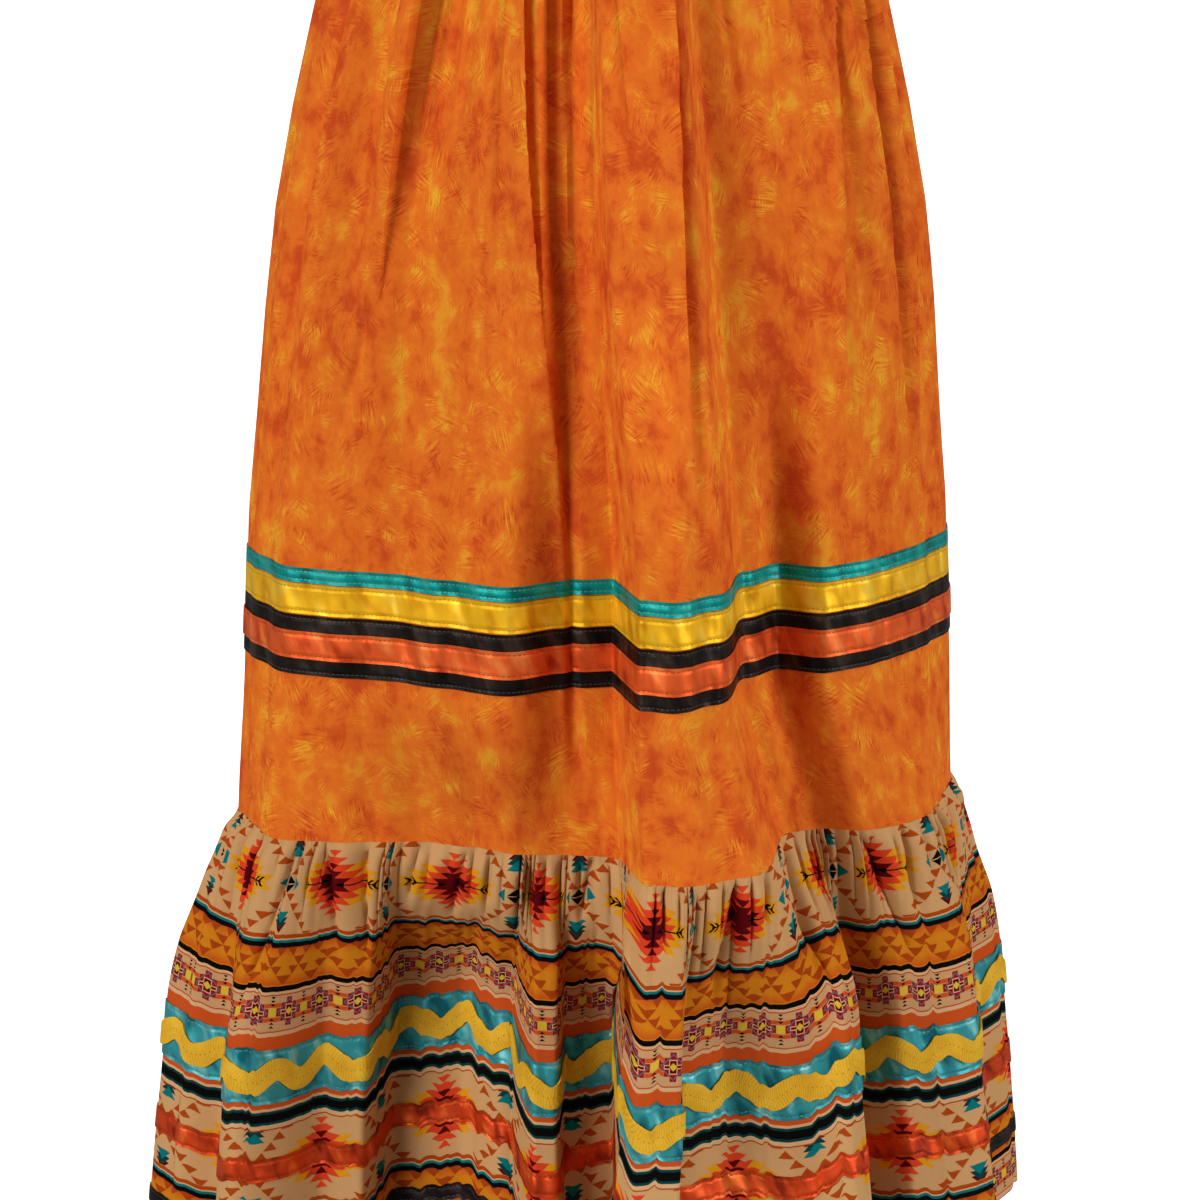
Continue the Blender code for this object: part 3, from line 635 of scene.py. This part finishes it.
def linear(colour):
    """Linear RGBA of an sRGB hex colour."""
    parts = [int(colour[i:i + 2], 16) / 255.0 for i in (1, 3, 5)]
    return (*[p / 12.92 if p <= 0.04045 else ((p + 0.055) / 1.055) ** 2.4 for p in parts], 1.0)


def add_node(tree, kind, links=None, **settings):
    """A node with its settings, and its inputs linked to sockets or set to values."""
    made = tree.nodes.new(kind)
    for name, value in settings.items():
        setattr(made, name, value)
    for name, value in (links or {}).items():
        if isinstance(value, Number):
            value = value.socket
        if isinstance(value, str):
            value = linear(value)
        if isinstance(value, bpy.types.NodeSocket):
            tree.links.new(value, made.inputs[name])
        else:
            made.inputs[name].default_value = value
    return made


class Number:
    """A number worked out all over the cloth: each sum adds a Math node."""

    def __init__(self, tree, socket):
        self.tree, self.socket = tree, socket

    def sum(self, operation, *others):
        links = dict(enumerate((self, *others)))
        return Number(self.tree, add_node(self.tree, "ShaderNodeMath", links,
                                          operation=operation).outputs[0])

    def __add__(self, other):
        return self.sum("ADD", other)

    def __sub__(self, other):
        return self.sum("SUBTRACT", other)

    def __mul__(self, other):
        return self.sum("MULTIPLY", other)

    def __lt__(self, other):
        return self.sum("LESS_THAN", other)

    def __gt__(self, other):
        return self.sum("GREATER_THAN", other)

    def __or__(self, other):
        return self.sum("MAXIMUM", other)

    def __abs__(self):
        return self.sum("ABSOLUTE")

    def repeat(self, period):
        return self.sum("FLOORED_MODULO", period)

    def fold(self, half):
        """Distance from the nearest line of a row of lines two halves apart."""
        return self.sum("PINGPONG", half)

    def within(self, low, high):
        return self.sum("GREATER_THAN", low) * (self < high)

    def steps(self, table):
        """The value of the last row of a table that this number has passed."""
        total = (self > -1e6) * table[0][1]
        for (_, before), (mark, value) in zip(table, table[1:]):
            total = (self > mark).sum("MULTIPLY_ADD", value - before, total)
        return total


def new_material(name):
    made = bpy.data.materials.new(name)
    made.use_nodes = True
    made.node_tree.nodes.clear()
    return made, made.node_tree


def flat_cloth(tree):
    """Flat-cloth coordinates: the vector in metres, and u and v in millimetres."""
    place = add_node(tree, "ShaderNodeUVMap", uv_map="flat_cloth").outputs["UV"]
    parts = add_node(tree, "ShaderNodeSeparateXYZ", {"Vector": place})
    u, v = (Number(tree, parts.outputs[axis]) * 1000.0 for axis in ("X", "Y"))
    return place, u, v


def scaled(tree, place, x, y, turn=0.0):
    """Coordinates in counts of a pattern that is x by y millimetres, turned by an angle."""
    turned = add_node(tree, "ShaderNodeMapping", {
        "Vector": place, "Rotation": (0, 0, radians(turn))})
    return add_node(tree, "ShaderNodeMapping", {"Vector": turned.outputs[0],
                                                "Scale": (1000.0 / x, 1000.0 / y, 1.0)}).outputs[0]


def noise(tree, place, x, y, turn=0.0, detail=2.0, rough=0.5, offset=0.0):
    """Noise whose lumps are about x by y millimetres."""
    moved = add_node(tree, "ShaderNodeVectorMath", {0: place, 1: (offset, offset * 0.7, 0.0)},
                     operation="ADD").outputs[0]
    return Number(tree, add_node(tree, "ShaderNodeTexNoise", {
        "Vector": scaled(tree, moved, x, y, turn), "Scale": 1.0, "Detail": detail,
        "Roughness": rough}, noise_dimensions="2D").outputs["Fac"])


def ramp(tree, value, stops, interpolation="LINEAR"):
    """Colours of a value, at most 32 stops."""
    made = add_node(tree, "ShaderNodeValToRGB", {"Fac": value})
    band = made.color_ramp
    band.interpolation = interpolation
    while len(band.elements) < len(stops):
        band.elements.new(1.0)
    for element, (mark, colour) in zip(band.elements, sorted(stops)):
        element.position = mark
        element.color = linear(colour)
    return made.outputs["Color"]


def paint(tree, under, share, colour):
    """One colour laid over another where the share is 1."""
    return add_node(tree, "ShaderNodeMix", {0: share, 6: under, 7: colour},
                    data_type="RGBA").outputs[2]


def cloth_finish(tree, colour, height, depth, rough, specular, metallic=0.0):
    """Principled cloth with a bump from a height and set roughness."""
    bump = add_node(tree, "ShaderNodeBump", {"Height": height, "Distance": depth, "Strength": 1.0})
    shader = add_node(tree, "ShaderNodeBsdfPrincipled", {
        "Base Color": colour, "Roughness": rough, "Normal": bump.outputs[0],
        "Specular IOR Level": specular, "Metallic": metallic})
    add_node(tree, "ShaderNodeOutputMaterial", {"Surface": shader.outputs[0]})


def plain_weave(u, v, pitch):
    """Height from 0 to 1 of threads that pass over and under each other."""
    a = (u * (pi / pitch)).sum("SINE")
    b = (v * (pi / pitch)).sum("SINE")
    return abs(a * b) * 0.5 + (a * b > 0.0) * abs(a) * 0.25


def orange_brushed_cotton():
    """Cotton dyed in feathered brush strokes: the eye sees short yellow and red tufts on orange."""
    made, tree = new_material("brushed_dyed_cotton")
    place, u, v = flat_cloth(tree)
    value = noise(tree, place, 60, 80, detail=2) * 0.28 + noise(
        tree, place, 17, 24, detail=5, rough=0.62, offset=0.4) * 0.50 + 0.10
    # Tufts in cells, each with a direction of its own; strokes drawn about 1 mm wide
    for cell, length, thick, offset in ((19.0, 10.0, 1.1, 0.0), (14.0, 8.0, 0.9, 0.31),
                                        (26.0, 13.0, 1.4, 0.77)):
        moved = add_node(tree, "ShaderNodeVectorMath", {0: place, 1: (offset, offset, 0.0)},
                         operation="ADD").outputs[0]
        cells = add_node(tree, "ShaderNodeTexVoronoi", {
            "Vector": moved, "Scale": 1000.0 / cell, "Randomness": 1.0}, voronoi_dimensions="2D")
        pick = add_node(tree, "ShaderNodeSeparateXYZ", {"Vector": cells.outputs["Color"]})
        angle = Number(tree, pick.outputs["X"]) * 6.3
        turned = add_node(tree, "ShaderNodeVectorRotate", {
            "Vector": moved, "Center": cells.outputs["Position"], "Angle": angle},
            rotation_type="Z_AXIS").outputs[0]
        hairs = noise(tree, turned, thick, length, detail=2.0)
        fade = add_node(tree, "ShaderNodeClamp", {
            "Value": (Number(tree, cells.outputs["Distance"]) * -1.0 + 0.55) * 2.4})
        value = value + (hairs - 0.44) * Number(tree, fade.outputs[0]) * (
            Number(tree, pick.outputs["Y"]) * 0.80 - 0.20)
    colour = ramp(tree, value, (
        (0.36, "#c2461a"), (0.43, "#d0561c"), (0.47, "#da661f"), (0.55, "#e07221"),
        (0.60, "#e28625"), (0.67, "#e29a28"), (0.80, "#e5b02c")))
    height = plain_weave(u, v, 0.7) * 0.5 + noise(tree, place, 9, 16, offset=0.2)
    cloth_finish(tree, colour, height, 0.00018, 0.9, specular=0.06)
    return made


def printed_cotton():
    """Cotton printed in bands of stepped shapes: crisp flat colours over a fine even weave."""
    made, tree = new_material("printed_cotton")
    place, u, v = flat_cloth(tree)
    # All sizes in mm: u runs round the skirt, v down the flounce, and w is v with the lower rows
    # brought back by the print's repeat
    repeat, repeats_from = 194.0, 229.0
    u = u - PRINT_START
    w = (v > repeats_from).sum("MULTIPLY_ADD", -repeat, v)

    beige, ground, cream, brown = "#cd9b66", "#c99868", "#d6a878", "#ac4410"
    teal, dark_teal, black = "#087072", "#043c3c", "#0a0706"
    gold, orange_red, yellow = "#cf7c16", "#ca501c", "#dc9416"
    coral, dark_red, magenta, lemon = "#dc4220", "#5c060d", "#9c1024", "#d8b430"

    stripes = ((0, beige), (64.5, brown), (67, cream), (68, teal), (69.5, black), (73.7, gold),
               (99.5, black), (103.7, cream), (105.1, "#b8481c"), (106.2, ground),
               (130.4, "#b8481c"), (131.5, cream), (134.4, orange_red), (185.5, cream),
               (187, dark_teal), (188.6, black), (194.6, dark_teal), (196.2, cream),
               (199, brown), (200.6, beige))
    colour = ramp(tree, w * (1.0 / 240.0), [(mark / 240.0, c) for mark, c in stripes], "CONSTANT")

    # Wide bands: stepped bursts, and columns of small stepped trees between them
    wide = (v < 64.5) | v.within(200.6, 258.5)
    x = u.fold(52.0)
    y = abs(v - (v > 130.0) * 198.0 - 30.0)
    t = x * -1.0 + 52.0
    slant = y.sum("MULTIPLY_ADD", -0.9, x)
    lattice = t - y + 6.6
    flags = (y - 6.6).repeat(6.6).sum("MULTIPLY_ADD", -1.83, 10.6)
    motifs = (
        (slant < y.steps(((0, 29.7), (5, 18.1), (10, 7.2), (15, -99.0))), yellow),
        (slant < y.steps(((0, 15.9), (5, 7.6), (10, -1.1), (15, -9.7), (20, -18.0), (25, -99.0))),
         coral),
        (slant < y.steps(((0, 6.8), (5, -2.1), (10, -9.0), (15, -99.0))), dark_red),
        ((y < 0.5) * x.within(4.0, 27.0), black),
        ((y < (x - 3.0) * 0.42) * x.within(3.0, 8.0), black),
        (((x - y).within(20.2, 22.2) | (x - y).within(23.8, 25.8)) * (y < 3.4), black),
        ((lattice > 0.0) * (lattice < flags) * (y > 6.6), brown),
        (((t * (1 / 6.4) + y * (1 / 6.0)) < 1.0) * (y > 0.35), black),
        ((t > 7.6) * (((t - 7.6) * (1 / 6.2) + y * (1 / 5.4)) < 1.0), teal),
        ((y > 26.5) * (t < (y * -1.0 + 33.5)), dark_red),
        ((y > 23.0) * (t < (y * -1.0 + 30.5)), dark_teal),
        ((y > 19.0) * (t < (y * -1.0 + 26.5)), teal),
    )
    for mask, shade in motifs:
        colour = paint(tree, colour, mask * wide, shade)

    # Golden bands: red at both edges, with brown flags along crossed diagonals
    golden = w.within(73.7, 99.5)
    edge = Number(tree, add_node(tree, "ShaderNodeClamp", {
        "Value": (abs(w - 86.6) * (1 / 12.9) - 0.45) * 1.5}).outputs[0])
    colour = paint(tree, colour, golden * edge, "#c64416")
    zigzag = (u + 13.0).fold(26.0)
    drop = w - 73.7
    tooth = drop.repeat(6.45).sum("MULTIPLY_ADD", -1.6, 10.0)
    for lean in (zigzag - drop, zigzag * -1.0 + 26.0 - drop):
        colour = paint(tree, colour, (lean > 0.0) * (lean < tooth) * golden, "#a8400f")

    # Rows of stepped crosses with yellow squares and small black arrowheads between them
    crossed = w.within(106.2, 130.4)
    a = (u + 6.0).fold(13.0)
    b = abs(w - 118.3)
    gap = a * -1.0 + 13.0
    stepped = ((a < 2.3) * (b < 10.0)) | ((a < 6.4) * (b < 6.4)) | ((a < 10.0) * (b < 2.9))
    inner = ((a < 2.9) * (b < 5.0)) | ((a < 6.6) * (b < 1.5))
    core = ((a < 2.3) * (b < 4.3)) | ((a < 6.0) * (b < 0.8))
    heads = (b - 4.0).repeat(2.6)
    for mask, shade in (
            ((gap < 6.4) * b.within(3.4, 6.4), orange_red),
            (stepped, magenta),
            (inner, cream),
            (core, dark_red),
            (abs(a + b - 8.7) < 0.45, teal),
            ((a + b) < 2.8, lemon),
            ((gap < 3.0) * (b < 2.7), lemon),
            ((gap < (heads * 1.15)) * (heads < 1.7) * b.within(4.0, 11.8), black)):
        colour = paint(tree, colour, mask * crossed, shade)

    height = plain_weave(u, v, 0.55) + noise(tree, place, 6, 10, offset=0.3) * 0.8
    cloth_finish(tree, colour, height, 0.00022, 0.9, specular=0.05)
    return made


def satin_ribbon(name, body, painted_highlight, painted_shade, edges, stitch, pucker=1.0):
    """Satin: a gloss that stitch puckers break into light and dark, with soft patches of painted
    highlight and painted shade in its colour.
    """
    made, tree = new_material(name)
    place, u, v = flat_cloth(tree)
    # Painted highlight and painted shade: this noise lays soft light and dark patches into the
    # satin's colour
    drift = noise(tree, place, 13, 30, turn=25, detail=2, offset=0.6)
    colour = ramp(tree, drift, ((0.30, painted_shade), (0.46, body), (0.55, body), (0.72, painted_highlight)))
    low, high = edges
    inset = 2.2
    from_edge = ((v - low) * -1.0 + (high - low)).sum("MINIMUM", v - low)
    line = abs(from_edge - inset)
    dash = (u * (1 / 3.0)).repeat(1.0).within(0.14, 0.80)
    thread = (line < 0.42) * dash
    colour = paint(tree, colour, thread, stitch)
    draw = (line * -0.5 + 1.0).sum("MAXIMUM", 0.0)
    height = (noise(tree, place, 18, 34, turn=20, detail=1) * 2.4
              + noise(tree, place, 3.0, 7, offset=0.3) * draw * 0.2 - draw * 0.25 + thread * 0.2)
    # Part metallic, since the gloss of dyed satin keeps the dye's colour
    cloth_finish(tree, colour, height, 0.0017 * pucker, 0.46, specular=0.15, metallic=0.45)
    return made


def woven_braid():
    """Cotton ric-rac: matt golden braid with fine slanting threads and a dotted stitch line."""
    made, tree = new_material("woven_braid")
    place, u, v = flat_cloth(tree)
    drift = noise(tree, place, 14, 14, detail=2)
    threads = ((u + abs(v) * 0.9) * (2.0 * pi / 1.6)).sum("SINE")
    dots = (v * (2.0 * pi / 1.5)).sum("SINE") * threads
    colour = ramp(tree, drift * 0.35 + dots * 0.10 + 0.32,
                  ((0.32, "#c58c1c"), (0.50, "#e0aa26"), (0.68, "#ecbe3c")))
    dot = (u * (1 / 3.0)).repeat(1.0).within(0.0, 0.28) * (abs(v) < 0.4)
    colour = paint(tree, colour, dot, "#b98420")
    height = dots * 0.6 - dot * 0.8
    cloth_finish(tree, colour, height, 0.00018, 0.8, specular=0.15)
    return made


def wear(piece, look):
    """Give a piece its only material."""
    piece.data.materials.clear()
    piece.data.materials.append(look)


PRINT_START = 46.0        # flat length to the first burst's middle, mm

cotton = orange_brushed_cotton()
for piece in (waistband, orange_front, orange_back):
    wear(piece, cotton)
prints = printed_cotton()
for piece in (print_front, print_back):
    wear(piece, prints)
# Each satin's body colour, painted highlight colour, painted shade colour and stitch thread colour
SATIN_LOOKS = {
    "teal": ("#0a9088", "#35aaa0", "#066a64", "#46a8a2"),
    "yellow": ("#f6b81c", "#ffce40", "#dc980e", "#d8a420"),
    "black": ("#1e1612", "#3a2c26", "#0e0a08", "#463c38"),
    "orange": ("#e45c26", "#fa8440", "#ba3c14", "#cc5020"),
}
for name, edges in UPPER_RIBBONS.items():
    body, painted_highlight, painted_shade, stitch = SATIN_LOOKS[name]
    wear(satin["upper_" + name], satin_ribbon(
        name + "_satin", body, painted_highlight, painted_shade, [edge / MM for edge in edges], stitch))
# Each flounce satin's body colour, painted highlight colour, painted shade colour and stitch thread
# colour
FLOUNCE_LOOKS = {
    "teal": ("#37949a", "#7cc4c4", "#166670", "#58a0a2"),
    "orange": ("#cc4216", "#ee6a2c", "#8e2408", "#a83a14"),
    "black": ("#1c1513", "#2f2624", "#0d0a09", "#3a3230"),
}
for name, edges in FLOUNCE_RIBBONS.items():
    body, painted_highlight, painted_shade, stitch = FLOUNCE_LOOKS[name]
    wear(satin["flounce_" + name], satin_ribbon(
        name + "_satin_flounce", body, painted_highlight, painted_shade, [edge / MM for edge in edges], stitch, 1.3))
wear(ric_rac, woven_braid())

# Floor and backdrop of one pale sheet, below the hem
bpy.ops.object.select_all(action="DESELECT")
bpy.ops.mesh.primitive_plane_add(size=80.0, location=(0.0, 0.0, -1.06))
floor = bpy.context.object
floor.name = "floor"
floor_look, tree = new_material("pale_floor")
shader = add_node(tree, "ShaderNodeBsdfPrincipled", {
    "Base Color": "#f6f6f6", "Roughness": 0.9, "Emission Color": "#ffffff",
    "Emission Strength": 0.8})
add_node(tree, "ShaderNodeOutputMaterial", {"Surface": shader.outputs[0]})
wear(floor, floor_look)
floor.visible_diffuse = False      # its light would wash out the folds
floor.visible_glossy = False


def far_light(name, strength, spread, azimuth, elevation):
    """A large far light, from an azimuth and elevation as the camera's are given, in degrees."""
    data = bpy.data.lights.new(name, "SUN")
    data.energy, data.angle = strength, radians(spread)
    made = bpy.data.objects.new(name, data)
    bpy.context.scene.collection.objects.link(made)
    a, e = radians(azimuth), radians(elevation)
    way = Vector((np.sin(a) * np.cos(e), -np.cos(a) * np.cos(e), np.sin(e)))
    made.rotation_mode = "QUATERNION"
    made.rotation_quaternion = (-way).to_track_quat("-Z", "Y")


# Soft studio light: a broad key from the left, a weaker one from the right, a weak one behind
far_light("key", 2.55, 28.0, -58.0, 22.0)
far_light("fill", 2.20, 36.0, 55.0, 16.0)
far_light("rear", 1.10, 40.0, 160.0, 20.0)
world = bpy.data.worlds.new("studio")
bpy.context.scene.world = world
world.use_nodes = True
background = world.node_tree.nodes["Background"]
background.inputs["Color"].default_value = (1.0, 1.0, 1.0, 1.0)
background.inputs["Strength"].default_value = 0.20
bpy.context.scene.view_settings.view_transform = "Standard"

# Camera, at the photograph's angle and distance
AZIMUTH, ELEVATION, DISTANCE = radians(-12.0), radians(13.0), 2.285
back = Vector((np.sin(AZIMUTH) * np.cos(ELEVATION), -np.cos(AZIMUTH) * np.cos(ELEVATION),
               np.sin(ELEVATION)))
right = Vector((np.cos(AZIMUTH), np.sin(AZIMUTH), 0.0))
target = Vector((0.0, 0.0, -0.512)) - right * 0.004
lens = bpy.data.cameras.new("camera")
lens.sensor_width, lens.lens = 36.0, 105.4
lens.clip_start, lens.clip_end = 0.05, 200.0
camera = bpy.data.objects.new("camera", lens)
bpy.context.scene.collection.objects.link(camera)
camera.rotation_mode = "QUATERNION"
camera.location = target + back * DISTANCE
camera.rotation_quaternion = (-back).to_track_quat("-Z", "Y")
bpy.context.scene.camera = camera
